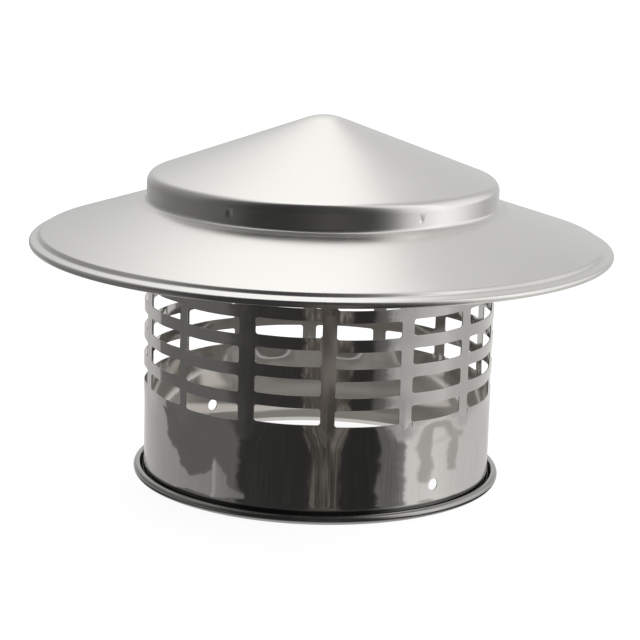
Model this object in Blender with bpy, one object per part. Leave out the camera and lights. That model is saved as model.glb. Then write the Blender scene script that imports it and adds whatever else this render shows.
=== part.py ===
"""A stainless steel chimney cap, in metres, +Z up, standing on the curled foot of its collar.

The cap is two pieces of thin sheet. The collar is a punched strip, rolled into a tube and curled
outwards at its foot. The hat is one pressing: a low cone, an upright band that slips over the top
of the collar and is spot welded to it, and a sloping brim with a stepped and curled edge.
The front of the cap faces -Y. Angles run from there towards +X.
"""
from math import atan2, cos, pi, radians, sin, tan

import bmesh
import bpy
from mathutils import Matrix, Vector

# The sheet, and the room that the band of the hat leaves around the collar
sheet = 0.0005
fit_gap = 0.0003

# Collar: the tube, and its plain wall above the slots
collar_radius = 0.0753
plain_top_height = 0.03108

# Collar: its top is drawn in a little, so that the band of the hat slips over it
neck_depth = 0.0009
neck_height = 0.1160

# Collar: the slots, punched in columns with an upright post between two columns
slot_columns = 14
slot_rows = 5
first_slot_height = 0.0404
row_pitch = 0.01203
slot_height = 0.0069
slot_corner = 0.0012
post_width = 0.0063
front_post_angle = radians(3.5)
fade_height = 0.0100
bar_bow = 0.00033

# Collar: columns that were punched a little high or low, counted from the front post towards +X
column_lift = {0: -0.0003, 1: 0.0001, 2: 0.0001, 11: 0.0004, 12: -0.0004, 13: 0.0005}

# Collar: columns that were punched a little to one side
column_slide = {
    0: radians(-0.3), 1: radians(-0.7), 2: radians(-0.9), 11: radians(1.2), 12: radians(-0.7)}

# Collar: the curled foot
flare_height = 0.0080
curl_radius = 0.0019
curl_reach = 0.0045
curl_flat = radians(22)
curl_join = radians(200)
curl_end = radians(475)

# Collar: two screw holes on one line through the axis
screw_hole_radius = 0.0025
screw_hole_height = 0.0120
screw_hole_angle = radians(40.5)
screw_holes = 2

# Hat: how far the collar reaches up into the band, and where the band bends in above it
band_overlap = 0.0066
top_clearance = 0.0005
shoulder_radius = 0.0046
foot_radius = 0.0015

# Hat: the cone, whose rise is taken from the band's outer face up to a sharp apex
cone_rise = 0.0280
apex_radius = 0.0240

# Hat: the brim, its step and its curled edge
hat_radius = 0.1250
brim_slope = radians(17.9)
lip_width = 0.0052
step_width = 0.0020
step_drop = 0.0019
lip_slope = radians(15)
rim_curl_radius = 0.0015
rim_curl_end = radians(-195)

# Hat: the dents of the spot welds, around the band
weld_dents = 6
weld_dent_radius = 0.0013
weld_dent_floor = 0.0006
weld_dent_depth = 0.00025
weld_dent_height = 0.0051
first_dent_angle = radians(-29.5)

# How finely the round shapes are cut into flat faces
facets_per_slot = 4
flare_facets = 3
curl_under_facets = 2
curl_over_facets = 5
apex_facets = 3
shoulder_facets = 3
foot_facets = 2
step_facets = 3
rim_curl_facets = 6
hole_sides = 16
dent_sides = 12
merge_distance = 0.000001

# How long the cutters of the holes and dents are
drill_length = 0.0100
punch_length = 0.0010

# Sizes that follow from those above
column_angle = 2 * pi / slot_columns
half_post = post_width / collar_radius / 2
half_slot = column_angle / 2 - half_post
facet_angle = 2 * half_slot / facets_per_slot
corner_angle = slot_corner / collar_radius
last_slot_top = first_slot_height + (slot_rows - 1) * row_pitch + slot_height
collar_height = last_slot_top + plain_top_height
round_facets = slot_columns * (facets_per_slot + 1)
inner_radius = collar_radius - sheet
band_radius = collar_radius - neck_depth + fit_gap + sheet
low_fade = first_slot_height - fade_height
high_fade = last_slot_top + fade_height


def clear_scene():
    """Take away whatever the file opened with."""
    for thing in list(bpy.data.objects):
        bpy.data.objects.remove(thing, do_unlink=True)


def steel(name, color, roughness):
    """A bare stainless steel material."""
    material = bpy.data.materials.new(name)
    material.use_nodes = True
    shader = material.node_tree.nodes["Principled BSDF"]
    shader.inputs["Base Color"].default_value = (*color, 1.0)
    shader.inputs["Metallic"].default_value = 1.0
    shader.inputs["Roughness"].default_value = roughness
    return material


def add_object(name, mesh, material, parent):
    """Turn a bmesh into a smooth shaded object that hangs from its parent."""
    data = bpy.data.meshes.new(name)
    mesh.to_mesh(data)
    mesh.free()
    data.shade_smooth()
    data.set_sharp_from_angle(angle=radians(30))
    data.materials.append(material)
    piece = bpy.data.objects.new(name, data)
    bpy.context.collection.objects.link(piece)
    piece.parent = parent
    return piece


def arc(center, radius, start, end, steps):
    """Points (distance from the axis, height) along an arc, both ends included."""
    turn = (end - start) / steps
    angles = [start + turn * step for step in range(steps + 1)]
    return [(center[0] + radius * cos(a), center[1] + radius * sin(a)) for a in angles]


def cut_with(piece, cutter):
    """Subtract a hidden cutter from a piece."""
    cutter.hide_render = True
    cutter.display_type = "WIRE"
    boolean = piece.modifiers.new(cutter.name, "BOOLEAN")
    boolean.operation = "DIFFERENCE"
    boolean.object = cutter


def radial_frame(angle, distance, height):
    """A frame whose +Z points out from the axis, at a place on the wall."""
    outward = Vector((sin(angle), -cos(angle), 0))
    turn = outward.to_track_quat("Z", "Y").to_matrix().to_4x4()
    return Matrix.Translation(outward * distance + Vector((0, 0, height))) @ turn


def slot_start(column):
    """Angle of the left side of the slots in a column."""
    column %= slot_columns
    regular = front_post_angle + column * column_angle + half_post
    return regular + column_slide.get(column, 0)


def bow_share(height):
    """How much of the bow the wall has: all of it among the slots, fading to none beyond them."""
    below = (first_slot_height - height) / fade_height
    above = (height - last_slot_top) / fade_height
    return 1 - min(max(below, above, 0), 1)


def neck_share(height):
    """How much of the neck's depth the wall has: none up to the slots' fade, all from the neck up."""
    return min(max((height - high_fade) / (neck_height - high_fade), 0), 1)


def wall_radius(angle, height):
    """Inner face of the rolled strip, in flat facets: bars bowed out a little, posts drawn in."""
    plain = inner_radius - neck_depth * neck_share(height)
    across = min((angle - slot_start(column) + 1e-9) % (2 * pi) for column in range(slot_columns))
    step = min(int(across / facet_angle), facets_per_slot - 1)
    near, far = step * facet_angle, (step + 1) * facet_angle
    radii = []
    for corner in (near, far):
        bow = bar_bow * cos(2 * pi * (corner - half_slot) / column_angle)
        radii.append(plain + bow * bow_share(height))
    spread = radii[0] * sin(across - near) + radii[1] * sin(far - across)
    return radii[0] * radii[1] * sin(far - near) / spread


def foot_path():
    """The strip's inner face from the plain wall, through the flare and around the curl."""
    center = (collar_radius + curl_reach - curl_radius, curl_radius * cos(curl_flat / 2))
    bottom = 1.5 * pi
    around = arc(center, curl_radius, curl_join, bottom - curl_flat / 2, curl_under_facets)
    around += arc(center, curl_radius, bottom + curl_flat / 2, curl_end, curl_over_facets)
    flare = []
    for step in range(flare_facets):
        part = step / flare_facets
        radius = inner_radius + (around[0][0] - inner_radius) * part ** 2
        flare.append((radius, flare_height + (around[0][1] - flare_height) * part))
    return flare + around


def slot_side(angle, height, across, up):
    """One rounded corner of a slot, from its upright side to its level edge."""
    lean = 1 - cos(pi / 4)
    return [
        (angle, height + up * slot_corner),
        (angle + across * corner_angle * lean, height + up * slot_corner * lean),
        (angle + across * corner_angle, height),
    ]


def build_collar(material, parent):
    """Punch, roll and curl the strip, then give it its thickness and its screw holes."""
    mesh = bmesh.new()
    points = {}

    def point(angle, height):
        key = (round(angle % (2 * pi), 6), round(height, 7))
        if key not in points:
            radius = wall_radius(angle, height)
            points[key] = mesh.verts.new((radius * sin(angle), -radius * cos(angle), height))
        return points[key]

    def panel(corners):
        mesh.faces.new([point(angle, height) for angle, height in corners])

    def plain_band(low, high, angles):
        for left, right in zip(angles, angles[1:]):
            panel([(left, low), (right, low), (right, high), (left, high)])

    ring = []
    for column in range(slot_columns):
        left = slot_start(column)
        right = left + 2 * half_slot
        across = [left + facet_angle * step for step in range(facets_per_slot + 1)]
        post_start = slot_start(column - 1) + 2 * half_slot
        angles = [post_start] + across
        ring += angles[:-1]
        plain_band(flare_height, low_fade, angles)
        plain_band(high_fade, neck_height, angles)
        plain_band(neck_height, collar_height, angles)

        # The post left of this column, cut level with the straight sides of the slots beside it
        lift = column_lift.get(column, 0)
        levels = [(low_fade, low_fade)]
        for row in range(slot_rows):
            bottom = first_slot_height + row * row_pitch
            for level in (bottom + slot_corner, bottom + slot_height - slot_corner):
                before = column_lift.get((column - 1) % slot_columns, 0)
                levels.append((level + before, level + lift))
        levels.append((high_fade, high_fade))
        for low, high in zip(levels, levels[1:]):
            panel([(post_start, low[0]), (left, low[1]), (left, high[1]), (post_start, high[0])])

        # The bars between one slot and the next
        for row in range(slot_rows - 1):
            under = first_slot_height + row * row_pitch + slot_height + lift
            over = first_slot_height + (row + 1) * row_pitch + lift
            lower_left = slot_side(left, under, 1, -1)
            lower_right = slot_side(right, under, -1, -1)
            upper_left = slot_side(left, over, 1, 1)
            upper_right = slot_side(right, over, -1, 1)
            panel(lower_left + [(across[1], under), (across[1], over)] + upper_left[::-1])
            for near, far in zip(across[1:-2], across[2:-1]):
                panel([(near, under), (far, under), (far, over), (near, over)])
            panel([(across[-2], under)] + lower_right[::-1] + upper_right + [(across[-2], over)])

        # The wall below the first slot and above the last one, fading from bowed to round
        edges = ((first_slot_height + lift, low_fade, 1), (last_slot_top + lift, high_fade, -1))
        for edge, fade, up in edges:
            first = slot_side(left, edge, 1, up)
            last = slot_side(right, edge, -1, up)
            strips = [[(left, fade), (across[1], fade), (across[1], edge)] + first[::-1]]
            for near, far in zip(across[1:-2], across[2:-1]):
                strips.append([(near, fade), (far, fade), (far, edge), (near, edge)])
            strips.append([(across[-2], fade), (right, fade)] + last + [(across[-2], edge)])
            for strip in strips:
                panel(strip if up > 0 else strip[::-1])

    # The flare and the curl, ring by ring down from the plain wall
    upper = [point(angle, flare_height) for angle in ring]
    for radius, height in foot_path()[1:]:
        lower = [mesh.verts.new((radius * sin(a), -radius * cos(a), height)) for a in ring]
        for here in range(len(ring)):
            after = (here + 1) % len(ring)
            mesh.faces.new([lower[here], lower[after], upper[after], upper[here]])
        upper = lower

    collar = add_object("collar", mesh, material, parent)
    wall = collar.modifiers.new("sheet", "SOLIDIFY")
    wall.thickness = sheet
    wall.offset = 1.0
    wall.use_even_offset = True

    drill = bmesh.new()
    for hole in range(screw_holes):
        angle = screw_hole_angle + 2 * pi * hole / screw_holes
        bmesh.ops.create_cone(
            drill, cap_ends=True, segments=hole_sides, radius1=screw_hole_radius,
            radius2=screw_hole_radius, depth=drill_length,
            matrix=radial_frame(angle, collar_radius, screw_hole_height))
    cut_with(collar, add_object("screw_hole_cutter", drill, material, parent))
    return collar


def hat_path():
    """Outer face of the hat from its apex to the end of its curled edge; height 0 is the band's foot."""
    cone_slope = atan2(cone_rise, band_radius)
    cone_up = pi / 2 - cone_slope
    shoulder_in = band_radius - shoulder_radius
    shoulder_up = band_overlap + top_clearance
    shoulder = arc((shoulder_in, shoulder_up), shoulder_radius, cone_up, 0, shoulder_facets)

    sharp_apex = shoulder_up + shoulder_in * tan(cone_slope) + shoulder_radius / cos(cone_slope)
    apex_down = sharp_apex - apex_radius / cos(cone_slope)
    nose = arc((0, apex_down), apex_radius, pi / 2, cone_up, apex_facets)
    nose[0] = (0, nose[0][1])

    foot_out = band_radius + foot_radius
    foot_up = foot_radius / cos(brim_slope) - foot_radius * tan(brim_slope)
    foot = arc((foot_out, foot_up), foot_radius, pi, 1.5 * pi - brim_slope, foot_facets)

    step_start = (hat_radius - lip_width, -(hat_radius - lip_width - band_radius) * tan(brim_slope))
    even_drop = step_width * tan(brim_slope)
    step = []
    for facet in range(step_facets + 1):
        part = facet / step_facets
        eased = part * part * (3 - 2 * part)
        drop = even_drop * part + (step_drop - even_drop) * eased
        step.append((step_start[0] + step_width * part, step_start[1] - drop))

    curl_start = pi / 2 - lip_slope
    curl_in = hat_radius - rim_curl_radius
    lip_end = curl_in + rim_curl_radius * cos(curl_start)
    lip_end_height = step[-1][1] - (lip_end - step[-1][0]) * tan(lip_slope)
    curl_height = lip_end_height - rim_curl_radius * sin(curl_start)
    curl = arc((curl_in, curl_height), rim_curl_radius, curl_start, rim_curl_end, rim_curl_facets)
    return nose + shoulder + foot + step + curl


def inner_path(path, thickness):
    """The other face of a sheet: each point moved square to its neighbours, the first down the axis."""
    moved = [(0, path[0][1] - thickness)]
    for index in range(1, len(path)):
        here = Vector(path[index])
        before = (here - Vector(path[index - 1])).normalized()
        after = (Vector(path[index + 1]) - here).normalized() if index + 1 < len(path) else before
        across = (before + after).normalized()
        inward = Vector((across.y, -across.x))
        reach = thickness / inward.dot(Vector((before.y, -before.x)))
        moved.append(tuple(here + inward * reach))
    return moved


def build_hat(material, parent):
    """Spin the section of the pressing around the axis, then press in the weld dents."""
    outside = hat_path()
    section = outside + inner_path(outside, sheet)[::-1]
    start = front_post_angle - half_post
    mesh = bmesh.new()
    corners = [mesh.verts.new((r * sin(start), -r * cos(start), z)) for r, z in section]
    edges = [mesh.edges.new(pair) for pair in zip(corners, corners[1:])]
    bmesh.ops.spin(
        mesh, geom=corners + edges, cent=(0, 0, 0), axis=(0, 0, 1),
        angle=2 * pi, steps=round_facets, use_duplicate=False)
    bmesh.ops.remove_doubles(mesh, verts=mesh.verts, dist=merge_distance)
    bmesh.ops.recalc_face_normals(mesh, faces=mesh.faces)

    hat = add_object("hat", mesh, material, parent)
    hat.location.z = collar_height - band_overlap

    punch = bmesh.new()
    widening = (weld_dent_radius - weld_dent_floor) / weld_dent_depth
    punch_middle = band_radius - weld_dent_depth + punch_length / 2
    for dent in range(weld_dents):
        angle = first_dent_angle + 2 * pi * dent / weld_dents
        bmesh.ops.create_cone(
            punch, cap_ends=True, segments=dent_sides, radius1=weld_dent_floor,
            radius2=weld_dent_floor + widening * punch_length, depth=punch_length,
            matrix=radial_frame(angle, punch_middle, weld_dent_height))
    cutter = add_object("weld_dent_cutter", punch, material, parent)
    cutter.location.z = hat.location.z
    cut_with(hat, cutter)
    return hat


clear_scene()
cap = bpy.data.objects.new("chimney_cap", None)
bpy.context.collection.objects.link(cap)
build_collar(steel("polished_steel", (0.55, 0.54, 0.52), 0.12), cap)
build_hat(steel("satin_steel", (0.72, 0.71, 0.69), 0.35), cap)
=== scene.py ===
# %% [markdown]
# A stainless steel chimney cap, dressed for its photograph. The cap is two pieces of thin sheet: a
# slotted collar that stands on a curled foot, and a hat with a low cone and a wide brim. Both are
# modelled again here, finer than the plain frame, and each takes the place of its frame node.

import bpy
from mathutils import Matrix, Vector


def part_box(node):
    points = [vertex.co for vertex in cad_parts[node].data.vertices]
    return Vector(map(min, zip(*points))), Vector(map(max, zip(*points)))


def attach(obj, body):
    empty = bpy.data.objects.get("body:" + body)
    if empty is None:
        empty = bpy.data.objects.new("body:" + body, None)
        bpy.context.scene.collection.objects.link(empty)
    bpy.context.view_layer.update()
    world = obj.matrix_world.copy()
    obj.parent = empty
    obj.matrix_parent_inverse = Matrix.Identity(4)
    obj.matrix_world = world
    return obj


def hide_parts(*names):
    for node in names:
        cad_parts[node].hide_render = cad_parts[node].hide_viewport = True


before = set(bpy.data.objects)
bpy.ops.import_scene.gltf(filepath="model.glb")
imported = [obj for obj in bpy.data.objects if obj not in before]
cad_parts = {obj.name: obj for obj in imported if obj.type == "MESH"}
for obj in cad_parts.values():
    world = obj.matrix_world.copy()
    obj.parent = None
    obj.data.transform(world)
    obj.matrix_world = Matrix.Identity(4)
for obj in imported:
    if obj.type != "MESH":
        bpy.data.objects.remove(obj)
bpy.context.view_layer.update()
print("frame nodes:", sorted(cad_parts))

# %% Other tools of this lesson
from math import atan2, cos, floor, hypot, pi, radians, sin, tan

import bmesh
import bpy
from mathutils import Matrix, Vector

collar_low, collar_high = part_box("collar")
hat_low, hat_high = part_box("hat")
print("collar stands from", round(collar_low[2], 4), "to", round(collar_high[2], 4))
print("hat reaches from", round(hat_low[2], 4), "to", round(hat_high[2], 4))

# %% [markdown]
# The camera comes first, because every later choice is judged through it. It stands almost a metre
# away and looks down by 13 degrees, with a long lens, so the cap shows little perspective. It is
# rolled by less than two degrees, as the upright sides lean that much in the picture.

# %% The camera
camera_distance = 0.9231
camera_rise = radians(13.02)
camera_roll = radians(1.65)
aim = Vector((0.00026, 0.0, 0.06712))

camera_data = bpy.data.cameras.new("camera")
camera_data.lens = 119.7
camera_data.sensor_width = 36.0
camera_data.clip_end = 50.0
camera = bpy.data.objects.new("camera", camera_data)
bpy.context.collection.objects.link(camera)
stand = aim + Vector((0, -cos(camera_rise), sin(camera_rise))) * camera_distance
tilt = Matrix.Rotation(pi / 2 - camera_rise, 4, "X") @ Matrix.Rotation(camera_roll, 4, "Z")
camera.matrix_world = Matrix.Translation(stand) @ tilt
bpy.context.scene.camera = camera
print("camera at", tuple(round(value, 3) for value in stand))

# %% [markdown]
# Both pieces are modelled as by hand: an operator acts on whatever is selected. These helpers make
# one object the active one, and select the corners, edges or faces whose middle passes a test.

# %% Helpers for selecting
def hold_only(piece):
    """Leave edit mode and make one object the only selected and active one."""
    if bpy.context.object and bpy.context.object.mode != "OBJECT":
        bpy.ops.object.mode_set(mode="OBJECT")
    bpy.ops.object.select_all(action="DESELECT")
    if piece:
        piece.select_set(True)
        bpy.context.view_layer.objects.active = piece


def open_mesh(piece):
    """Go into edit mode with everything deselected."""
    hold_only(piece)
    bpy.ops.object.mode_set(mode="EDIT")
    bpy.ops.mesh.select_all(action="DESELECT")


def middle(item):
    """The place of a corner, or the middle of an edge or a face."""
    if isinstance(item, bmesh.types.BMVert):
        return item.co
    if isinstance(item, bmesh.types.BMEdge):
        return (item.verts[0].co + item.verts[1].co) / 2
    return item.calc_center_median()


def pick(piece, kind, test):
    """In edit mode, select each corner (VERT), edge (EDGE) or face (FACE) that passes the test."""
    bpy.ops.mesh.select_mode(type=kind)
    bpy.ops.mesh.select_all(action="DESELECT")
    mesh = bmesh.from_edit_mesh(piece.data)
    items = {"VERT": mesh.verts, "EDGE": mesh.edges, "FACE": mesh.faces}[kind]
    count = 0
    for item in items:
        if test(middle(item)):
            item.select_set(True)
            count += 1
    mesh.select_flush_mode()
    bmesh.update_edit_mesh(piece.data)
    return count


def apply_modifier(piece, name):
    """Apply one modifier of an object."""
    hold_only(piece)
    bpy.ops.object.modifier_apply(modifier=name)


def flip_faces(piece):
    """Turn all faces of an object inside out."""
    open_mesh(piece)
    bpy.ops.mesh.select_all(action="SELECT")
    bpy.ops.mesh.flip_normals()
    hold_only(piece)


def thicken(piece, thickness, offset):
    """Give a surface its thickness: offset 1 grows along the normals, -1 against them."""
    thick = piece.modifiers.new("sheet", "SOLIDIFY")
    thick.thickness = thickness
    thick.offset = offset
    thick.use_even_offset = True
    apply_modifier(piece, "sheet")


def cut_away(piece, cutter):
    """Cut one object out of another, and delete the cutter."""
    cut = piece.modifiers.new("cut", "BOOLEAN")
    cut.operation = "DIFFERENCE"
    cut.object = cutter
    apply_modifier(piece, "cut")
    bpy.data.objects.remove(cutter, do_unlink=True)


# %% [markdown]
# The collar starts as a flat strip, as in the workshop: slots are punched in it, and it is rolled into
# a tube afterwards. Its fourteen columns of five slots are all alike, so one slot is modelled with
# the metal around it and repeated. Lengths along the strip are measured on its inner face.

# %% Sizes of the collar
sheet = 0.0005
collar_radius = 0.0753
inner_radius = collar_radius - sheet
strip_length = 2 * pi * inner_radius
slot_columns = 14
slot_rows = 5
column_angle = 2 * pi / slot_columns
column_width = strip_length / slot_columns
post_width = 0.0063 * inner_radius / collar_radius
slot_width = column_width - post_width
slot_height = 0.0069
row_pitch = 0.01203
first_slot = 0.0404
last_slot = first_slot + (slot_rows - 1) * row_pitch + slot_height
plain_top_height = 0.03108
collar_height = last_slot + plain_top_height
slot_corner = 0.0012
touch = 0.00001
front_post = radians(3.5)
seam_post = -3
seam_angle = front_post + seam_post * column_angle
print("strip:", round(strip_length, 4), "m long, slots", round(slot_width, 4), "m wide")

# %% One slot in its piece of plate
slot_middle = Vector((column_width / 2, 0, first_slot + slot_height / 2))
margin = 0.002

hold_only(None)
bpy.ops.mesh.primitive_plane_add(size=1, location=slot_middle, rotation=(pi / 2, 0, 0))
collar = bpy.context.object
collar.name = "collar_shell"
bpy.ops.object.transform_apply(location=True, rotation=True, scale=True)
open_mesh(collar)
bpy.ops.mesh.select_all(action="SELECT")
bpy.ops.transform.resize(value=(column_width, 1, row_pitch), center_override=slot_middle)
bpy.ops.mesh.inset(thickness=margin)
shrink = (slot_width / (column_width - 2 * margin), 1, slot_height / (row_pitch - 2 * margin))
bpy.ops.transform.resize(value=shrink, center_override=slot_middle)
bpy.ops.mesh.bevel(offset=slot_corner, offset_type="OFFSET", segments=5, affect="VERTICES")
found = pick(collar, "FACE", lambda place: (place - slot_middle).length < 0.00005)
bpy.ops.mesh.delete(type="FACE")
print("faces punched out:", found)

# %% [markdown]
# A flat plate can only bend where it has edges. Upright cuts are made with bisect, close together at
# the rounded corners and wider apart along the slot, so the tube comes out round.

# %% Upright cuts
half_slot = slot_width / 2
straight = half_slot - slot_corner
cuts = [straight * step / 6 for step in range(7)]
cuts += [half_slot - slot_corner * 0.62, half_slot - slot_corner * 0.28, half_slot]
cuts += [half_slot + post_width / 2 * step / 4 for step in (1, 2, 3)]
for cut in cuts:
    for side in ((1, -1) if cut else (1,)):
        bpy.ops.mesh.select_all(action="SELECT")
        bpy.ops.mesh.bisect(plane_co=slot_middle + Vector((cut * side, 0, 0)), plane_no=(1, 0, 0))
hold_only(collar)
print("one slot:", len(collar.data.polygons), "faces")

# %% Repeat the slot
for name, count, step in (
        ("columns", slot_columns, (column_width, 0, 0)),
        ("rows", slot_rows, (0, 0, row_pitch))):
    repeat = collar.modifiers.new(name, "ARRAY")
    repeat.count = count
    repeat.use_relative_offset = False
    repeat.use_constant_offset = True
    repeat.constant_offset_displace = step
    repeat.use_merge_vertices = True
    repeat.merge_threshold = touch
    apply_modifier(collar, name)
print("slotted strip:", len(collar.data.polygons), "faces")

# %% [markdown]
# The punching wasn't perfect: some columns sit a few tenths of a millimetre high or low, and no two
# bars are quite alike.

# %% Columns punched high or low
column_lift = {0: -0.0003, 1: 0.0001, 2: 0.0001, 11: 0.0004, 12: -0.0004, 13: 0.0005}
strip_low = first_slot + slot_height / 2 - row_pitch / 2
strip_high = strip_low + slot_rows * row_pitch


def along(place, change):
    """A change at a place counted in columns from the front post, blended across each post."""
    number = floor(place)
    across = place - number
    half_post = post_width / column_width / 2
    here = change.get(number % slot_columns, 0)
    if across < half_post:
        beside = change.get((number - 1) % slot_columns, 0)
        return beside + (here - beside) * (across / half_post + 1) / 2
    if across > 1 - half_post:
        beside = change.get((number + 1) % slot_columns, 0)
        return beside + (here - beside) * ((1 - across) / half_post + 1) / 2
    return here


moved = 0
for corner in collar.data.vertices:
    if strip_low + 0.0001 < corner.co.z < strip_high - 0.0001:
        corner.co.z += along(corner.co.x / column_width + seam_post, column_lift)
        moved += 1
print("corners lifted with their columns:", moved)

# %% [markdown]
# The plain wall below and above the slots is drawn out of the strip's two long edges. It has level
# edges where the wall goes from bowed, beside the slots, to round again.

# %% The plain wall
fade_height = 0.0100
flare_height = 0.0080


def draw_wall(edge, levels):
    """Extrude one long edge of the strip through a list of heights."""
    pick(collar, "EDGE", lambda place: abs(place.z - edge) < touch)
    height = edge
    for level in levels:
        bpy.ops.mesh.extrude_edges_move(TRANSFORM_OT_translate={"value": (0, 0, level - height)})
        height = level


level_pitch = 0.0015
neck_start = last_slot + fade_height
neck_height = 0.1160
low_levels = [strip_low - step * level_pitch for step in range(1, 6)] + [0.0270, 0.0170, flare_height]
high_levels = [strip_high + step * level_pitch for step in range(1, 6)] + [neck_height, collar_height]
open_mesh(collar)
draw_wall(strip_low, low_levels)
draw_wall(strip_high, high_levels)
hold_only(collar)
print("strip reaches", [round(corner.co.z, 4) for corner in collar.data.vertices][-1])

# %% [markdown]
# The two ends of the strip are butt welded, and the ground weld shows as a fine upright line. Two
# cuts close to the ends leave narrow strips there, which become the two sides of a shallow groove.

# %% Cuts beside the seam
groove_half = 0.00022
open_mesh(collar)
for place in (groove_half, strip_length - groove_half):
    bpy.ops.mesh.select_all(action="SELECT")
    bpy.ops.mesh.bisect(plane_co=(place, 0, 0), plane_no=(1, 0, 0))
hold_only(collar)
print("flat strip:", len(collar.data.polygons), "faces")

# %% [markdown]
# Rolling is a Simple Deform modifier that bends the strip by a full turn. It bends around a point in
# front of the strip's middle, so the strip is centred first and the tube moved back to the axis.

# %% Roll the strip
for corner in collar.data.vertices:
    corner.co.x -= strip_length / 2
roll = collar.modifiers.new("roll", "SIMPLE_DEFORM")
roll.deform_method = "BEND"
roll.deform_axis = "Z"
roll.angle = 2 * pi
apply_modifier(collar, "roll")

centre_y = (min(c.co.y for c in collar.data.vertices) + max(c.co.y for c in collar.data.vertices)) / 2
collar.location.y = -centre_y
bpy.ops.object.transform_apply(location=True, rotation=True, scale=True)
collar.rotation_euler.z = seam_angle + pi
bpy.ops.object.transform_apply(location=True, rotation=True, scale=True)
open_mesh(collar)
bpy.ops.mesh.select_all(action="SELECT")
bpy.ops.mesh.remove_doubles(threshold=touch)
hold_only(collar)
reach = [hypot(corner.co.x, corner.co.y) for corner in collar.data.vertices]
print("rolled radius from", round(min(reach), 5), "to", round(max(reach), 5))

# %% [markdown]
# Punching stretches the sheet a little: the bars bow out between the posts and the posts lie in. Each
# corner is moved along a cosine wave around the tube, which fades out over a centimetre below and
# above the slots. Some columns are also turned a degree aside, as they were punched. At its top the
# wall is drawn in by almost a millimetre, so that the hat slips over it.

# %% Bow the bars
bar_bow = 0.00033
column_slide = {
    0: radians(-0.3), 1: radians(-0.7), 2: radians(-0.9), 11: radians(1.2), 12: radians(-0.7)}
neck_depth = 0.0009


def fade(height):
    """1 among the slots, easing to 0 beyond them."""
    outside = max(first_slot - height, height - last_slot, 0) / fade_height
    part = 1 - min(outside, 1)
    return part * part * (3 - 2 * part)


for corner in collar.data.vertices:
    angle = atan2(corner.co.x, -corner.co.y)
    place = (angle - front_post) / column_angle
    radius = inner_radius - bar_bow * cos(2 * pi * place) * fade(corner.co.z)
    radius -= neck_depth * min(max((corner.co.z - neck_start) / (neck_height - neck_start), 0), 1)
    angle += along(place, column_slide)
    corner.co.x = radius * sin(angle)
    corner.co.y = -radius * cos(angle)
seam_angle += along(seam_post, column_slide)
reach = [hypot(corner.co.x, corner.co.y) for corner in collar.data.vertices]
print("bowed radius from", round(min(reach), 5), "to", round(max(reach), 5))

# %% [markdown]
# The foot flares out and curls over on itself, which stiffens the edge and keeps it from cutting. The
# lowest edge of the tube is extruded ring by ring along that section, each ring scaled to its radius.

# %% Section of the foot
curl_radius = 0.0019
curl_reach = 0.0045
curl_join = radians(200)
curl_end = radians(475)


def arc(centre, radius, start, end, steps):
    """Points (distance from the axis, height) along an arc, both ends included."""
    turn = (end - start) / steps
    angles = [start + turn * step for step in range(steps + 1)]
    return [(centre[0] + radius * cos(a), centre[1] + radius * sin(a)) for a in angles]


curl_centre = (collar_radius + curl_reach - curl_radius, curl_radius)
curl = arc(curl_centre, curl_radius, curl_join, curl_end, 22)
flare = []
for step in range(1, 6):
    part = step / 6
    radius = inner_radius + (curl[0][0] - inner_radius) * part ** 2
    flare.append((radius, flare_height + (curl[0][1] - flare_height) * part))
foot_section = flare + curl
print("foot section:", len(foot_section), "rings, lowest", round(min(z for r, z in foot_section), 5))

# %% Curl the foot
open_mesh(collar)
pick(collar, "EDGE", lambda place: abs(place.z - flare_height) < touch)
here = (inner_radius, flare_height)
for radius, height in foot_section:
    bpy.ops.mesh.extrude_edges_move(TRANSFORM_OT_translate={"value": (0, 0, height - here[1])})
    grow = radius / here[0]
    bpy.ops.transform.resize(value=(grow, grow, 1), center_override=(0, 0, 0))
    here = (radius, height)
hold_only(collar)
print("curled collar:", len(collar.data.polygons), "faces")

# %% The seam groove
groove_depth = 0.00010
sunk = 0
for corner in collar.data.vertices:
    angle = atan2(corner.co.x, -corner.co.y)
    if abs(angle - seam_angle) < 0.0001:
        reach = hypot(corner.co.x, corner.co.y)
        corner.co.x *= 1 - groove_depth / reach
        corner.co.y *= 1 - groove_depth / reach
        sunk += 1
print("corners along the seam:", sunk)

# %% [markdown]
# Solidify turns the surface into sheet half a millimetre thick. It grows along the face normals, so
# these are made consistent first, and turned if they point at the axis.

# %% Sheet thickness
open_mesh(collar)
bpy.ops.mesh.select_all(action="SELECT")
bpy.ops.mesh.normals_make_consistent(inside=False)
hold_only(collar)
plain_middle = 0.0220
wall_faces = [face for face in collar.data.polygons if abs(face.center.z - plain_middle) < 0.004]
outwards = sum(face.normal.dot(face.center * Vector((1, 1, 0))) for face in wall_faces)
if outwards < 0:
    flip_faces(collar)
thicken(collar, sheet, 1.0)
print("solid collar:", len(collar.data.polygons), "faces")

# %% [markdown]
# Two screw holes near the foot hold the cap on its pipe. They are drilled with a Boolean, and the
# drill is deleted afterwards.

# %% Drill the screw holes
hole_radius = 0.0025
hole_height = 0.0120
hole_angle = radians(40.5)
drill_length = 0.010
for number in range(2):
    angle = hole_angle + pi * number
    outward = Vector((sin(angle), -cos(angle), 0))
    hold_only(None)
    bpy.ops.mesh.primitive_cylinder_add(
        vertices=48, radius=hole_radius, depth=drill_length,
        location=outward * collar_radius + Vector((0, 0, hole_height)),
        rotation=outward.to_track_quat("Z", "Y").to_euler())
    cut_away(collar, bpy.context.object)
print("drilled collar:", len(collar.data.polygons), "faces")

# %% [markdown]
# Punched edges are never quite sharp. A Bevel rounds them, and they catch a thin line of light. A
# Weighted Normal then lets the large faces decide, so that the sheet beside an edge still looks flat.

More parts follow.
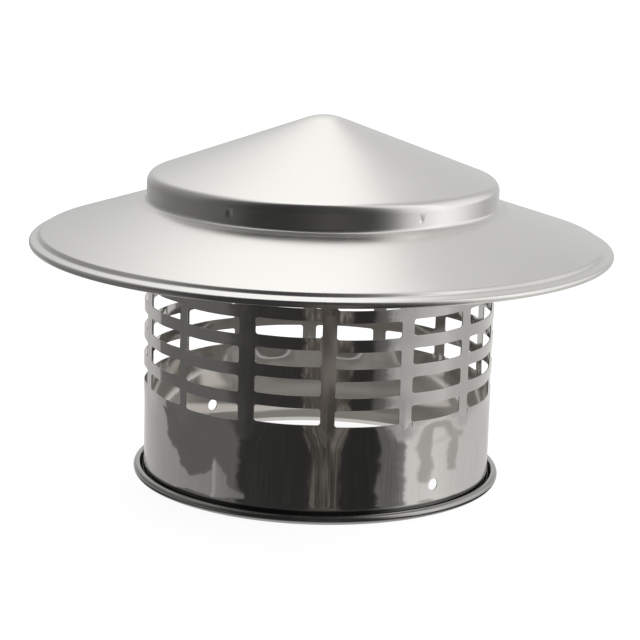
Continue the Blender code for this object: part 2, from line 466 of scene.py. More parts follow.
# %% Soften the cut edges
soften = collar.modifiers.new("soft_edges", "BEVEL")
soften.width = 0.00014
soften.segments = 2
soften.limit_method = "ANGLE"
soften.angle_limit = radians(50)
soften.use_clamp_overlap = False
apply_modifier(collar, "soft_edges")
hold_only(collar)
bpy.ops.object.shade_smooth_by_angle(angle=radians(40))
weigh = collar.modifiers.new("flat_sheet", "WEIGHTED_NORMAL")
weigh.mode = "FACE_AREA_WITH_ANGLE"
weigh.weight = 100
weigh.keep_sharp = True
apply_modifier(collar, "flat_sheet")
print("softened collar:", len(collar.data.polygons), "faces")

# %% [markdown]
# The hat is one pressing, the same all around, so it is one section spun about the axis. The section
# is drawn from the apex outwards: a blunt nose, the cone, a rounded shoulder, the upright band, a
# small fillet, the sloping brim, a step, a narrow lip and the curled edge.

# %% Sizes of the hat
fit_gap = 0.0003
band_overlap = 0.0066
top_clearance = 0.0005
band_radius = collar_radius - neck_depth + fit_gap + sheet
band_foot = collar_height - band_overlap
shoulder_radius = 0.0046
foot_radius = 0.0020
cone_rise = 0.0280
apex_radius = 0.0240
hat_radius = hat_high[0] - 0.00002
brim_slope = radians(17.9)
lip_width = 0.0052
step_width = 0.0020
step_drop = 0.0019
lip_slope = radians(15)
rim_radius = 0.0015
rim_end = radians(-195)

# %% Section of the hat
cone_slope = atan2(cone_rise, band_radius)
cone_up = pi / 2 - cone_slope
shoulder_in = band_radius - shoulder_radius
shoulder_up = band_overlap + top_clearance
shoulder = arc((shoulder_in, shoulder_up), shoulder_radius, cone_up, 0, 12)
sharp_apex = shoulder_up + shoulder_in * tan(cone_slope) + shoulder_radius / cos(cone_slope)
nose = arc((0, sharp_apex - apex_radius / cos(cone_slope)), apex_radius, pi / 2, cone_up, 10)
nose[0] = (0, nose[0][1])
foot_up = foot_radius / cos(brim_slope) - foot_radius * tan(brim_slope)
foot = arc((band_radius + foot_radius, foot_up), foot_radius, pi, 1.5 * pi - brim_slope, 8)

step_in = hat_radius - lip_width
step_top = -(step_in - band_radius) * tan(brim_slope)
step_line = []
for number in range(9):
    part = number / 8
    eased = part * part * (3 - 2 * part)
    drop = step_width * tan(brim_slope) * (part - eased) + step_drop * eased
    step_line.append((step_in + step_width * part, step_top - drop))

rim_start = pi / 2 - lip_slope
rim_in = hat_radius - rim_radius
lip_end = rim_in + rim_radius * cos(rim_start)
lip_end_up = step_line[-1][1] - (lip_end - step_line[-1][0]) * tan(lip_slope)
rim = arc((rim_in, lip_end_up - rim_radius * sin(rim_start)), rim_radius, rim_start, rim_end, 20)
hat_section = nose + shoulder + foot + step_line + rim
print("hat section:", len(hat_section), "points")

# %% [markdown]
# The section is drawn as by hand: a plane is merged to a single corner, the corner is moved to the
# apex, and it is extruded from point to point. Spin then sweeps the line once around the axis.

# %% Draw and spin the section
hold_only(None)
bpy.ops.mesh.primitive_plane_add(size=0.001, location=(0, 0, band_foot))
hat = bpy.context.object
hat.name = "hat_shell"
bpy.ops.object.transform_apply(location=True, rotation=True, scale=True)
open_mesh(hat)
pick(hat, "VERT", lambda place: True)
bpy.ops.mesh.merge(type="CENTER")
pick(hat, "VERT", lambda place: True)
here = (0.0, 0.0)
for number, (radius, height) in enumerate(hat_section):
    move = (0, here[0] - radius, height - here[1])
    if number == 0:
        bpy.ops.transform.translate(value=move)
    else:
        bpy.ops.mesh.extrude_vertices_move(TRANSFORM_OT_translate={"value": move})
    here = (radius, height)
bpy.ops.mesh.select_all(action="SELECT")
bpy.ops.mesh.spin(steps=256, angle=2 * pi, center=(0, 0, 0), axis=(0, 0, 1))
bpy.ops.mesh.select_all(action="SELECT")
bpy.ops.mesh.remove_doubles(threshold=0.000002)
bpy.ops.mesh.normals_make_consistent(inside=False)
hold_only(hat)
print("spun hat:", len(hat.data.polygons), "faces")

# %% Sheet thickness of the hat
cone_faces = [face for face in hat.data.polygons if hypot(face.center.x, face.center.y) < 0.06]
if sum(face.normal.z for face in cone_faces) < 0:
    flip_faces(hat)
thicken(hat, sheet, -1.0)
print("solid hat:", len(hat.data.polygons), "faces")

# %% [markdown]
# Six spot welds fix the band to the collar. Each one leaves a shallow round dent, which is cut here
# with a ball that dips a quarter of a millimetre into the band. One weld is fainter: its dent is
# smaller, lower and a little aside. The values are radius, depth, height and angle aside.

# %% Weld dents
dent_count = 6
first_dent = radians(-29.5)
plain_dent = (0.0013, 0.00025, 0.0051, 0)
faint_dents = {1: (0.0008, 0.00012, 0.0040, radians(1.3))}
for number in range(dent_count):
    dent_radius, dent_depth, dent_up, dent_slide = faint_dents.get(number, plain_dent)
    ball_radius = (dent_radius ** 2 + dent_depth ** 2) / (2 * dent_depth)
    angle = first_dent + number * pi / 3 + dent_slide
    outward = Vector((sin(angle), -cos(angle), 0))
    hold_only(None)
    bpy.ops.mesh.primitive_uv_sphere_add(
        segments=48, ring_count=24, radius=ball_radius,
        location=outward * (band_radius + ball_radius - dent_depth) + Vector((0, 0, band_foot + dent_up)))
    cut_away(hat, bpy.context.object)
hold_only(hat)
bpy.ops.object.shade_smooth_by_angle(angle=radians(30))
print("dented hat:", len(hat.data.polygons), "faces")

# %% [markdown]
# Both finishes are bare stainless steel, and share two effects, which are node groups built once. The
# first gives soft clouds of handling and water marks. The second gives the waves of thin sheet that
# bend a reflection, and the fine grain of the mill.

# %% A group for clouds
def new_group(name, inputs, outputs):
    """A shader node group with named sockets."""
    group = bpy.data.node_groups.new(name, "ShaderNodeTree")
    for label, kind, value in inputs:
        socket = group.interface.new_socket(name=label, in_out="INPUT", socket_type=kind)
        if value is not None:
            socket.default_value = value
    for label, kind in outputs:
        group.interface.new_socket(name=label, in_out="OUTPUT", socket_type=kind)
    return group


def add_node(tree, kind, **values):
    """Add a node and set its properties."""
    node = tree.nodes.new(kind)
    for name, value in values.items():
        setattr(node, name, value)
    return node


clouds = new_group(
    "steel_clouds",
    [("Coordinates", "NodeSocketVector", None), ("Size", "NodeSocketFloat", 30.0),
     ("Sharpness", "NodeSocketFloat", 0.5)],
    [("Clouds", "NodeSocketFloat"), ("Marks", "NodeSocketFloat")])
inside = add_node(clouds, "NodeGroupInput")
outside = add_node(clouds, "NodeGroupOutput")
soft = add_node(clouds, "ShaderNodeTexNoise")
soft.inputs["Detail"].default_value = 4.0
marks = add_node(clouds, "ShaderNodeTexNoise")
marks.inputs["Detail"].default_value = 2.0
marks.inputs["Distortion"].default_value = 0.6
finer = add_node(clouds, "ShaderNodeMath", operation="MULTIPLY")
finer.inputs[1].default_value = 2.3
narrow = add_node(clouds, "ShaderNodeMapRange")
narrow.interpolation_type = "SMOOTHSTEP"
narrow.inputs["From Min"].default_value = 0.56
narrow.inputs["From Max"].default_value = 0.68
clouds.links.new(inside.outputs["Coordinates"], soft.inputs["Vector"])
clouds.links.new(inside.outputs["Size"], soft.inputs["Scale"])
clouds.links.new(inside.outputs["Sharpness"], soft.inputs["Roughness"])
clouds.links.new(inside.outputs["Size"], finer.inputs[0])
clouds.links.new(inside.outputs["Coordinates"], marks.inputs["Vector"])
clouds.links.new(finer.outputs[0], marks.inputs["Scale"])
clouds.links.new(marks.outputs["Fac"], narrow.inputs["Value"])
clouds.links.new(soft.outputs["Fac"], outside.inputs["Clouds"])
clouds.links.new(narrow.outputs["Result"], outside.inputs["Marks"])
print("group", clouds.name, "has", len(clouds.nodes), "nodes")

# %% A group for waves and grain
waves = new_group(
    "steel_waves",
    [("Coordinates", "NodeSocketVector", None), ("Wave Size", "NodeSocketFloat", 18.0),
     ("Wave Depth", "NodeSocketFloat", 0.0001), ("Grain Depth", "NodeSocketFloat", 0.000002)],
    [("Height", "NodeSocketFloat")])
inside = add_node(waves, "NodeGroupInput")
outside = add_node(waves, "NodeGroupOutput")
swell = add_node(waves, "ShaderNodeTexNoise")
swell.inputs["Detail"].default_value = 1.0
swell.inputs["Roughness"].default_value = 0.3
grain = add_node(waves, "ShaderNodeTexNoise")
grain.inputs["Scale"].default_value = 420.0
grain.inputs["Detail"].default_value = 2.0
swell_height = add_node(waves, "ShaderNodeMath", operation="MULTIPLY")
grain_height = add_node(waves, "ShaderNodeMath", operation="MULTIPLY_ADD")
waves.links.new(inside.outputs["Coordinates"], swell.inputs["Vector"])
waves.links.new(inside.outputs["Wave Size"], swell.inputs["Scale"])
waves.links.new(inside.outputs["Coordinates"], grain.inputs["Vector"])
waves.links.new(swell.outputs["Fac"], swell_height.inputs[0])
waves.links.new(inside.outputs["Wave Depth"], swell_height.inputs[1])
waves.links.new(grain.outputs["Fac"], grain_height.inputs[0])
waves.links.new(inside.outputs["Grain Depth"], grain_height.inputs[1])
waves.links.new(swell_height.outputs[0], grain_height.inputs[2])
waves.links.new(grain_height.outputs[0], outside.inputs["Height"])
print("group", waves.name, "has", len(waves.nodes), "nodes")

# %% [markdown]
# The next helpers keep the many small nodes readable. Each one adds a node, fills its inputs with
# numbers or links, and gives back its output.

# %% Helpers for nodes
def calc(tree, operation, *values):
    """A Math node whose inputs are sockets or numbers."""
    node = add_node(tree, "ShaderNodeMath", operation=operation)
    for socket, value in zip(node.inputs, values):
        if isinstance(value, (int, float)):
            socket.default_value = value
        else:
            tree.links.new(value, socket)
    return node.outputs[0]


def ease(tree, value, start, end, low=0.0, high=1.0):
    """A smooth step from low to high while the value goes from start to end."""
    node = add_node(tree, "ShaderNodeMapRange", interpolation_type="SMOOTHSTEP")
    limits = {"From Min": start, "From Max": end, "To Min": low, "To Max": high}
    for label, number in limits.items():
        node.inputs[label].default_value = number
    tree.links.new(value, node.inputs["Value"])
    return node.outputs["Result"]


def window(tree, value, low, high, soft):
    """1 between two limits, easing to 0 outside them."""
    rise = ease(tree, value, low - soft, low + soft)
    fall = ease(tree, value, high - soft, high + soft, 1.0, 0.0)
    return calc(tree, "MULTIPLY", rise, fall)


def ramp(tree, factor, stops):
    """A colour ramp through (place, grey or colour) stops."""
    node = add_node(tree, "ShaderNodeValToRGB")
    elements = node.color_ramp.elements
    elements.remove(elements[0])
    for number, (place, tone) in enumerate(stops):
        stop = elements[0] if number == 0 else elements.new(place)
        stop.position = place
        stop.color = (*(tone if isinstance(tone, tuple) else (tone, tone, tone)), 1)
    tree.links.new(factor, node.inputs["Fac"])
    return node.outputs["Color"]


def blend(tree, factor, first, second, kind="MIX"):
    """Mix two colours, each a socket or a fixed colour."""
    node = add_node(tree, "ShaderNodeMix", data_type="RGBA", blend_type=kind)
    for label, value in (("Factor", factor), ("A", first), ("B", second)):
        if isinstance(value, (float, tuple)):
            node.inputs[label].default_value = value
        else:
            tree.links.new(value, node.inputs[label])
    return node.outputs["Result"]


def turn(degrees):
    """Where an angle around the cap falls on a ramp: 0 is towards the camera, + to the right."""
    return (degrees + 180) / 360


# %% [markdown]
# A steel finish is a metallic Principled shader. What differs between the two is how rough it is and
# how strong the clouds and waves are: the hat is satin, the collar is nearly a mirror.

# %% A steel finish
def steel_finish(name, darker, lighter, smooth, rough, cloud_size, wave_size, wave_depth, grain_depth):
    """Bare steel whose tone and roughness vary softly over the surface."""
    finish = bpy.data.materials.new(name)
    finish.use_nodes = True
    tree = finish.node_tree
    shader = tree.nodes["Principled BSDF"]
    shader.inputs["Metallic"].default_value = 1.0
    place = add_node(tree, "ShaderNodeTexCoord")
    cloud = add_node(tree, "ShaderNodeGroup", node_tree=clouds)
    cloud.inputs["Size"].default_value = cloud_size
    wave = add_node(tree, "ShaderNodeGroup", node_tree=waves)
    wave.inputs["Wave Size"].default_value = wave_size
    wave.inputs["Wave Depth"].default_value = wave_depth
    wave.inputs["Grain Depth"].default_value = grain_depth
    tone = add_node(tree, "ShaderNodeMix", data_type="RGBA")
    tone.inputs["A"].default_value = (*darker, 1)
    tone.inputs["B"].default_value = (*lighter, 1)
    gloss = add_node(tree, "ShaderNodeMapRange")
    gloss.inputs["From Min"].default_value = 0.3
    gloss.inputs["From Max"].default_value = 0.7
    gloss.inputs["To Min"].default_value = smooth
    gloss.inputs["To Max"].default_value = rough
    bump = add_node(tree, "ShaderNodeBump")
    bump.inputs["Distance"].default_value = 1.0
    tree.links.new(place.outputs["Object"], cloud.inputs["Coordinates"])
    tree.links.new(place.outputs["Object"], wave.inputs["Coordinates"])
    tree.links.new(cloud.outputs["Clouds"], tone.inputs["Factor"])
    tree.links.new(tone.outputs["Result"], shader.inputs["Base Color"])
    tree.links.new(cloud.outputs["Clouds"], gloss.inputs["Value"])
    tree.links.new(gloss.outputs["Result"], shader.inputs["Roughness"])
    tree.links.new(wave.outputs["Height"], bump.inputs["Height"])
    tree.links.new(bump.outputs["Normal"], shader.inputs["Normal"])
    return finish


satin = steel_finish(
    "satin_sheet", darker=(0.74, 0.73, 0.70), lighter=(0.80, 0.79, 0.77), smooth=0.20, rough=0.262,
    cloud_size=28.0, wave_size=20.0, wave_depth=0.00008, grain_depth=0.0000006)
polished = steel_finish(
    "mirror_sheet", darker=(0.60, 0.59, 0.575), lighter=(0.68, 0.67, 0.655), smooth=0.05, rough=0.10,
    cloud_size=45.0, wave_size=30.0, wave_depth=0.00004, grain_depth=0.0000003)
for piece, finish in ((collar, polished), (hat, satin)):
    piece.data.materials.clear()
    piece.data.materials.append(finish)
    print(piece.name, "is", finish.name)

# %% [markdown]
# Where the wall runs into the curl, shade is painted into the steel's colour: dark painted shade in
# the crease, and lighter painted shade on the curl. Both are rings at the foot, so their masks come
# from the height and the distance to the axis. The inside of the wall has no crease, so the painted
# shade in the crease is kept to the side that faces outwards.

# %% Painted shade in the crease above the curl
def read_axes(tree, output):
    """X, Y and Z of one output of the Texture Coordinate node, such as the place on the object."""
    coordinates = add_node(tree, "ShaderNodeTexCoord")
    axes = add_node(tree, "ShaderNodeSeparateXYZ")
    tree.links.new(coordinates.outputs[output], axes.inputs["Vector"])
    return [axes.outputs[axis] for axis in "XYZ"]


def flat_product(tree, first, second):
    """X times X plus Y times Y, of two lists of axes."""
    return calc(tree, "MULTIPLY_ADD", first[0], second[0], calc(tree, "MULTIPLY", first[1], second[1]))


crease_shade_strength = 0.90
curl_shade_strength = 0.38
foot_tree = polished.node_tree
foot_shader = foot_tree.nodes["Principled BSDF"]
foot_place = read_axes(foot_tree, "Object")
foot_z = foot_place[2]
outward = flat_product(foot_tree, foot_place, read_axes(foot_tree, "Normal"))
foot_far = calc(foot_tree, "SQRT", flat_product(foot_tree, foot_place, foot_place))
on_curl = ease(foot_tree, foot_far, collar_radius + 0.0014, collar_radius + 0.0024)
near_wall = calc(foot_tree, "SUBTRACT", 1.0, on_curl)
crease_shade_mask = calc(foot_tree, "MULTIPLY", near_wall, window(foot_tree, foot_z, 0.0012, 0.0049, 0.0004))
crease_shade_mask = calc(foot_tree, "MULTIPLY", crease_shade_mask, ease(foot_tree, foot_far, inner_radius, collar_radius - 0.0001))
crease_shade_mask = calc(foot_tree, "MULTIPLY", crease_shade_mask, ease(foot_tree, outward, -0.03, -0.005))
painted_curl_shade = calc(foot_tree, "MULTIPLY", on_curl, ease(foot_tree, foot_z, 0.0060, 0.0080, 1.0, 0.0))
# Painted shade: the crease and the curl are darkened in the base colour, towards near black.
painted_foot_shade = calc(foot_tree, "ADD", calc(foot_tree, "MULTIPLY", crease_shade_mask, crease_shade_strength), calc(
    foot_tree, "MULTIPLY", painted_curl_shade, curl_shade_strength))
clean_tone = foot_shader.inputs["Base Color"].links[0].from_socket
foot_tone = blend(foot_tree, painted_foot_shade, clean_tone, (0.02, 0.02, 0.02, 1))
foot_tree.links.new(foot_tone, foot_shader.inputs["Base Color"])
print("collar finish:", len(foot_tree.nodes), "nodes")

# %% [markdown]
# Deep drawing leaves the bend below the band duller than the rest of the hat, so it is rougher there.

# %% The dull bend of the hat
added_roughness = 0.16
bend_tree = satin.node_tree
bend_shader = bend_tree.nodes["Principled BSDF"]
bend_place = read_axes(bend_tree, "Object")
bend_far = calc(bend_tree, "SQRT", flat_product(bend_tree, bend_place, bend_place))
in_bend = window(bend_tree, bend_far, band_radius + 0.0008, band_radius + 0.0038, 0.0010)
clean_rough = bend_shader.inputs["Roughness"].links[0].from_socket
bend_rough = calc(bend_tree, "MULTIPLY_ADD", in_bend, added_roughness, clean_rough)
bend_tree.links.new(bend_rough, bend_shader.inputs["Roughness"])
print("hat finish:", len(bend_tree.nodes), "nodes")

# %% Put the pieces on the frame
for piece, node, slot in ((collar, "collar", "polished_steel"), (hat, "hat", "satin_steel")):
    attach(piece, "root")
    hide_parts(node)

# %% [markdown]
# Polished steel shows what stands around it. In the picture the cap stands in a dim room that
# reaches up to the ceiling towards the camera. There is a window to the right, and a wide soft light
# overhead and behind, which the hat shows. As a photographer hangs cards around a product, a large
# ball with the room painted on it goes around the cap. The camera looks through it at a white world.

# %% Around the camera
room_paint = bpy.data.materials.new("dim_room")
room_paint.use_nodes = True
sky = room_paint.node_tree
sky.nodes.clear()
toward = add_node(sky, "ShaderNodeTexCoord")
direction = add_node(sky, "ShaderNodeVectorMath", operation="NORMALIZE")
split = add_node(sky, "ShaderNodeSeparateXYZ")
sky.links.new(toward.outputs["Object"], direction.inputs[0])
sky.links.new(direction.outputs["Vector"], split.inputs["Vector"])
side, ahead, up = split.outputs["X"], split.outputs["Y"], split.outputs["Z"]

around = calc(sky, "ARCTAN2", side, calc(sky, "MULTIPLY", ahead, -1.0))
around = calc(sky, "MULTIPLY_ADD", around, 1 / (2 * pi), 0.5)
room_stops = [
    (0.0, 0.60), (turn(-165), 0.58), (turn(-145), 0.34), (turn(-120), 0.22), (turn(-65), 0.11),
    (turn(-45), 0.04), (turn(-20), 0.036), (turn(0), 0.06), (turn(33), 0.06), (turn(44), 0.21),
    (turn(56), 0.80), (turn(80), 1.30), (turn(94), 1.10), (turn(108), 0.74), (turn(124), 0.45),
    (turn(165), 0.70), (1.0, 0.66)]
room = ramp(sky, around, room_stops)

# %% Overhead and behind
pitch = calc(sky, "MULTIPLY", calc(sky, "ARCTAN2", up, ahead), 1 / pi)
lift = ramp(sky, pitch, [
    (0.0, 0.0), (0.05, 0.0), (0.09, 0.15), (0.14, 0.37), (0.19, 0.60), (0.24, 0.83), (0.28, 1.0),
    (0.36, 1.18), (0.52, 1.30), (1.0, 1.30)])
sideways = calc(sky, "MULTIPLY_ADD", side, 0.5, 0.5)
box_width = ramp(sky, sideways, [
    (0.0, 0.0), (0.22, 0.0), (0.38, 0.96), (0.44, 1.0), (0.55, 1.0), (0.60, 0.16), (0.66, 0.0), (1.0, 0.0)])
back_wall = ramp(sky, sideways, [
    (0.0, 0.20), (0.12, 0.28), (0.22, 0.42), (0.33, 0.60), (0.42, 0.645), (0.66, 0.675), (0.78, 0.57),
    (0.90, 0.92), (1.0, 1.10)])
soft_box = blend(sky, 1.0, lift, box_width, "MULTIPLY")
soft_box = blend(sky, 1.0, soft_box, (0.56, 0.56, 0.545, 1), "MULTIPLY")
behind = blend(sky, 1.0, back_wall, soft_box, "ADD")
is_behind = calc(sky, "MULTIPLY", ease(sky, ahead, -0.14, 0.03), ease(sky, up, -0.04, 0.06))
everything = blend(sky, is_behind, room, behind)

# %% The room and the white world
def emit(tree, colour):
    """Make a painted material glow with its colour."""
    glow = add_node(tree, "ShaderNodeEmission")
    output = add_node(tree, "ShaderNodeOutputMaterial")
    tree.links.new(colour, glow.inputs["Color"])
    tree.links.new(glow.outputs[0], output.inputs["Surface"])


emit(sky, everything)
room_paint.cycles.emission_sampling = "NONE"
hold_only(None)
room_radius = 5.8
bpy.ops.mesh.primitive_uv_sphere_add(segments=96, ring_count=48, radius=room_radius)
room_ball = bpy.context.object
room_ball.name = "dim_room"
room_ball.data.materials.append(room_paint)
room_ball.visible_camera = False
room_ball.visible_shadow = False

world = bpy.data.worlds.new("white_world")
bpy.context.scene.world = world
world.use_nodes = True
world.node_tree.nodes["Background"].inputs["Color"].default_value = (1, 1, 1, 1)
print("room:", len(sky.nodes), "nodes")

# %% [markdown]
# The upright wall mirrors what lies around the cap, and that is a painted reflection: a glowing sheet
# on the floor, with marks placed where they show well in the wall. Each spot of it is given the angle
# and the height at which the camera finds it in the wall. That is an old trick: drawings made for a
# mirror cylinder are laid out the same way. As with those, the layout suits one standpoint, and from
# elsewhere the marks look stretched. The sheet is seen by the steel only.

# %% Where the wall mirrors a spot of the painted reflection sheet
hold_only(None)
table_size = 12.0
bpy.ops.mesh.primitive_plane_add(size=table_size, location=(0, 0, -0.00005))
reflection_sheet = bpy.context.object
reflection_sheet.name = "painted_reflection_sheet"
reflection_sheet.visible_camera = False
reflection_sheet.visible_diffuse = False
reflection_sheet.visible_transmission = False
reflection_sheet.visible_shadow = False
reflection_paint = bpy.data.materials.new("painted_reflection_sheet")
reflection_paint.use_nodes = True
reflection_tree = reflection_paint.node_tree
reflection_tree.nodes.clear()
swing = 2.085
horizon_height = 275.0
half_way_run = 0.84

spot = read_axes(reflection_tree, "Object")
spot_x = spot[0]
spot_y = calc(reflection_tree, "MULTIPLY", spot[1], -1.0)
squared = flat_product(reflection_tree, (spot_x, spot_y), (spot_x, spot_y))
spot_far = calc(reflection_tree, "SQRT", squared)
bearing = calc(reflection_tree, "ARCTAN2", spot_x, spot_y)
near = calc(reflection_tree, "MINIMUM", calc(reflection_tree, "DIVIDE", collar_radius, spot_far), 1.0)
guess = calc(reflection_tree, "DIVIDE", bearing, calc(reflection_tree, "MULTIPLY_ADD", near, 1 - swing, swing))
for step in range(3):
    sine = calc(reflection_tree, "SINE", calc(reflection_tree, "MULTIPLY", guess, swing - 1))
    lean = calc(reflection_tree, "ARCSINE", calc(reflection_tree, "MULTIPLY", near, sine))
    guess = calc(reflection_tree, "DIVIDE", calc(reflection_tree, "ADD", bearing, lean), swing)
aside = calc(reflection_tree, "MULTIPLY", guess, swing - 1)
across = calc(reflection_tree, "MULTIPLY", calc(reflection_tree, "SINE", aside), collar_radius)
along_ray = calc(reflection_tree, "SQRT", calc(reflection_tree, "MAXIMUM", calc(
    reflection_tree, "SUBTRACT", squared, calc(reflection_tree, "MULTIPLY", across, across)), 0.0))
inwards = calc(reflection_tree, "MULTIPLY", calc(reflection_tree, "COSINE", aside), collar_radius)
run = calc(reflection_tree, "MAXIMUM", calc(reflection_tree, "SUBTRACT", along_ray, inwards), 0.0)
wall_angle = calc(reflection_tree, "MULTIPLY", guess, 180 / pi)
wall_height = calc(reflection_tree, "DIVIDE", calc(reflection_tree, "MULTIPLY", run, horizon_height), calc(
    reflection_tree, "ADD", run, half_way_run))
print("table map:", len(reflection_tree.nodes), "nodes")

# %% [markdown]
# The painted reflection has no straight edges, so angle and height are shifted by noise before they
# are used. From left to right the painted reflection in the wall shows a pale patch with a ragged
# edge, a grey cloth, a dark gap, brown wood with its grain, a dark gap again, and the pale table by
# the window with smudges on it.

# %% Ragged edges
def noise(tree, first, second, size_first, size_second, detail=2.0):
    """Noise over two values, each with its own size."""
    stretch = add_node(tree, "ShaderNodeCombineXYZ")
    tree.links.new(calc(tree, "DIVIDE", first, size_first), stretch.inputs["X"])
    tree.links.new(calc(tree, "DIVIDE", second, size_second), stretch.inputs["Y"])
    node = add_node(tree, "ShaderNodeTexNoise")
    node.inputs["Scale"].default_value = 1.0
    node.inputs["Detail"].default_value = detail
    tree.links.new(stretch.outputs["Vector"], node.inputs["Vector"])
    return node.outputs["Fac"]


wide = noise(reflection_tree, wall_angle, wall_height, 9.0, 9.0)
fine = noise(reflection_tree, wall_height, wall_angle, 2.2, 9.0, 3.0)
shift = calc(reflection_tree, "MULTIPLY_ADD", wide, 6.0, calc(reflection_tree, "MULTIPLY_ADD", fine, 1.6, -3.8))
ragged_angle = calc(reflection_tree, "ADD", wall_angle, shift)
ragged_height = calc(reflection_tree, "ADD", wall_height, shift)
grain = noise(reflection_tree, wall_angle, wall_height, 0.55, 26.0, 3.0)
print("table map with its noises:", len(reflection_tree.nodes), "nodes")

# %% What the wall mirrors
def degree(angle):
    """Where an angle on the wall falls on a ramp."""
    return (angle + 90) / 180


spot_place = calc(reflection_tree, "MULTIPLY_ADD", ragged_angle, 1 / 180, 0.5)
straight_place = calc(reflection_tree, "MULTIPLY_ADD", wall_angle, 1 / 180, 0.5)
low_wall = ramp(reflection_tree, spot_place, [
    (0.0, 0.76), (degree(-75), 0.62), (degree(-62), 0.47), (degree(-58), 0.160), (degree(-48), 0.148),
    (degree(-25.2), 0.150), (degree(-23.8), 0.042), (degree(-4), 0.034), (degree(15), 0.030),
    (degree(19.4), 0.034), (degree(20.2), 0.150), (degree(26), 0.175), (degree(28.8), 0.30),
    (degree(30.0), 0.84), (degree(40), 0.88), (degree(55), 0.72), (degree(75), 0.66), (1.0, 0.80)])
high_wall = ramp(reflection_tree, spot_place, [
    (0.0, 0.70), (degree(-75), 0.58), (degree(-62), 0.50), (degree(-60), 0.205), (degree(-48), 0.165),
    (degree(-27), 0.150), (degree(-24), 0.075), (degree(-21), 0.045), (degree(-5), 0.040),
    (degree(8), 0.034), (degree(17), 0.036), (degree(19), 0.10), (degree(24), 0.17),
    (degree(27), 0.46), (degree(31), 0.62), (degree(44), 0.73), (degree(53), 0.58), (degree(64), 0.68),
    (degree(80), 0.74), (1.0, 0.86)])
is_high = ease(reflection_tree, wall_height, 36.0, 44.0)
shown = blend(reflection_tree, is_high, low_wall, high_wall)

edge_height = ramp(reflection_tree, spot_place, [
    (0.0, 1.0), (degree(-60), 1.0), (degree(-57), 0.62), (degree(-54), 0.50), (degree(-49), 0.37),
    (degree(-43), 0.26), (degree(-38), 0.28), (degree(-34.5), 0.34), (degree(-33.4), 0.47),
    (degree(-32.6), 0.40), (degree(-29), 0.33), (degree(-26), 0.20), (degree(-21), 0.12),
    (degree(-17), 0.0), (1.0, 0.0)])
under_edge = calc(reflection_tree, "SUBTRACT", calc(reflection_tree, "MULTIPLY", edge_height, 50.0), ragged_height)
under_edge = ease(reflection_tree, under_edge, -0.3, 0.5)
over_edge = calc(reflection_tree, "MULTIPLY", ease(reflection_tree, ragged_height, 35.6, 36.6), ease(
    reflection_tree, ragged_angle, -54.6, -53.6, 1.0, 0.0))
is_pale = calc(reflection_tree, "MULTIPLY", calc(reflection_tree, "MAXIMUM", under_edge, over_edge), ease(
    reflection_tree, wall_height, 41.0, 43.0, 1.0, 0.0))
pale = ramp(reflection_tree, straight_place, [
    (0.0, 0.78), (degree(-75), 0.61), (degree(-62), 0.46), (degree(-45), 0.34), (degree(-34.2), 0.30),
    (degree(-33.4), 0.52), (degree(-32.8), 0.30), (degree(-22), 0.20), (1.0, 0.20)])
shown = blend(reflection_tree, is_pale, shown, pale)

# %% Wood and smudges
wood = window(reflection_tree, ragged_angle, -1.8, 7.6, 0.35)
wood_tone = ramp(reflection_tree, grain, [
    (0.0, (0.040, 0.036, 0.034)), (0.42, (0.055, 0.049, 0.046)), (0.52, (0.080, 0.072, 0.067)),
    (0.60, (0.175, 0.163, 0.150)), (1.0, (0.24, 0.225, 0.205))])
brighter_up = ease(reflection_tree, wall_height, 34.0, 70.0, 1.0, 1.45)
wood_tone = blend(reflection_tree, 1.0, wood_tone, brighter_up, "MULTIPLY")
shown = blend(reflection_tree, wood, shown, wood_tone)
smudges = 0.0
for low, high, floor_up, ceiling in ((34, 53.5, 30.5, 37), (34, 39.5, 14, 33), (46.5, 51.5, 17, 31)):
    patch = calc(reflection_tree, "MULTIPLY", window(reflection_tree, ragged_angle, low, high, 0.8), window(
        reflection_tree, ragged_height, floor_up, ceiling, 0.9))
    smudges = patch if smudges == 0.0 else calc(reflection_tree, "MAXIMUM", smudges, patch)
shown = blend(reflection_tree, calc(reflection_tree, "MULTIPLY", smudges, 0.9), shown, (0.50, 0.49, 0.47, 1))
streaks = ease(reflection_tree, grain, 0.3, 0.7, 0.84, 1.16)
streaked = blend(reflection_tree, 1.0, shown, streaks, "MULTIPLY")
in_dark = calc(reflection_tree, "MAXIMUM", window(reflection_tree, wall_angle, -24, 29, 2.0), 0.25)
shown = blend(reflection_tree, in_dark, shown, streaked)
warm = blend(reflection_tree, 1.0, shown, (1.0, 0.99, 0.965, 1), "MULTIPLY")
# Painted reflection for the curl at the foot: light at the very bottom, dark just above it.
by_foot = ramp(reflection_tree, calc(reflection_tree, "DIVIDE", wall_height, 10.0), [
    (0.0, 0.80), (0.16, 0.75), (0.24, 0.10), (0.42, 0.06), (1.0, 0.06)])
shown = blend(reflection_tree, ease(reflection_tree, wall_height, 4.2, 4.8), by_foot, warm)

# %% Far away and inside the tube
far_place = calc(reflection_tree, "MULTIPLY_ADD", bearing, 1 / (2 * pi), 0.5)
far_tones = ramp(reflection_tree, far_place, room_stops)
shown = blend(reflection_tree, ease(reflection_tree, wall_height, 112.0, 128.0), shown, far_tones)
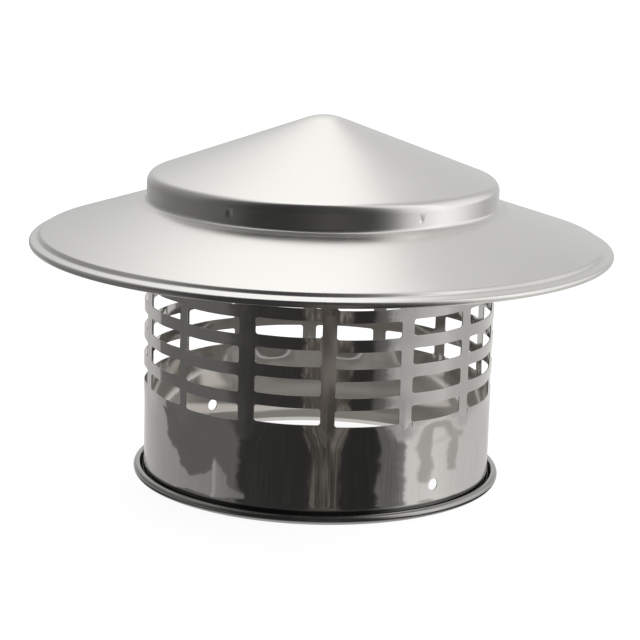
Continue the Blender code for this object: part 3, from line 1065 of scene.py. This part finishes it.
# Painted reflection for the inside of the tube, with two painted glints.
inside_noise = noise(reflection_tree, spot_x, spot_y, 0.035, 0.035)
inside_tones = ramp(reflection_tree, inside_noise, [
    (0.0, (0.13, 0.125, 0.117)), (0.40, (0.19, 0.183, 0.171)), (0.60, (0.30, 0.288, 0.27)),
    (1.0, (0.42, 0.403, 0.378))])
near_back = calc(reflection_tree, "MULTIPLY", window(reflection_tree, spot_y, -0.080, -0.054, 0.006), window(
    reflection_tree, spot_x, -0.030, 0.030, 0.008))
inside_tones = blend(reflection_tree, near_back, inside_tones, (0.30, 0.29, 0.27, 1))
glint = calc(reflection_tree, "MULTIPLY", window(reflection_tree, spot_x, 0.027, 0.066, 0.004), window(
    reflection_tree, spot_y, -0.050, -0.030, 0.004))
glint_back = calc(reflection_tree, "MULTIPLY", window(reflection_tree, spot_x, -0.022, -0.004, 0.003), window(
    reflection_tree, spot_y, -0.062, -0.044, 0.003))
glint = calc(reflection_tree, "MAXIMUM", glint, glint_back)
inside_tones = blend(reflection_tree, glint, inside_tones, (0.66, 0.63, 0.59, 1))
is_inside = ease(reflection_tree, spot_far, 0.0735, 0.0745, 1.0, 0.0)
shown = blend(reflection_tree, is_inside, shown, inside_tones)
# The sheet glows with this painted reflection.
emit(reflection_tree, shown)
reflection_paint.cycles.emission_sampling = "NONE"
reflection_sheet.data.materials.append(reflection_paint)
print("table painted:", len(reflection_tree.nodes), "nodes")

# %% [markdown]
# The camera sees a plain white floor with the cap's faint shadow on it.

# %% White floor
hold_only(None)
bpy.ops.mesh.primitive_plane_add(size=table_size, location=(0, 0, -0.0001))
ground = bpy.context.object
ground.name = "floor"
paint = bpy.data.materials.new("white_floor")
paint.use_nodes = True
ground_tree = paint.node_tree
ground_tree.nodes.clear()
diffuse = add_node(ground_tree, "ShaderNodeBsdfDiffuse")
diffuse.inputs["Color"].default_value = (0.30, 0.30, 0.30, 1)
shine = add_node(ground_tree, "ShaderNodeEmission")
shine.inputs["Strength"].default_value = 0.92
clear = add_node(ground_tree, "ShaderNodeBsdfTransparent")
both = add_node(ground_tree, "ShaderNodeAddShader")
path = add_node(ground_tree, "ShaderNodeLightPath")
choice = add_node(ground_tree, "ShaderNodeMixShader")
result = add_node(ground_tree, "ShaderNodeOutputMaterial")
ground_tree.links.new(diffuse.outputs[0], both.inputs[0])
ground_tree.links.new(shine.outputs[0], both.inputs[1])
ground_tree.links.new(path.outputs["Is Shadow Ray"], choice.inputs[0])
ground_tree.links.new(both.outputs[0], choice.inputs[1])
ground_tree.links.new(clear.outputs[0], choice.inputs[2])
ground_tree.links.new(choice.outputs[0], result.inputs["Surface"])
paint.cycles.emission_sampling = "NONE"
ground.data.materials.append(paint)

# %% Soft lamp and view
lamp_data = bpy.data.lights.new("soft_lamp", "AREA")
lamp_data.shape = "RECTANGLE"
lamp_width = 1.2
lamp_data.size = lamp_width
lamp_data.size_y = lamp_width
lamp_data.energy = 6.0
lamp = bpy.data.objects.new("soft_lamp", lamp_data)
lamp.location = (-0.5, 0.5, 1.6)
lamp.rotation_euler = (Vector((0, 0, 0.1)) - Vector(lamp.location)).to_track_quat("-Z", "Y").to_euler()
lamp.visible_glossy = False
bpy.context.collection.objects.link(lamp)
bpy.context.scene.view_settings.view_transform = "Standard"
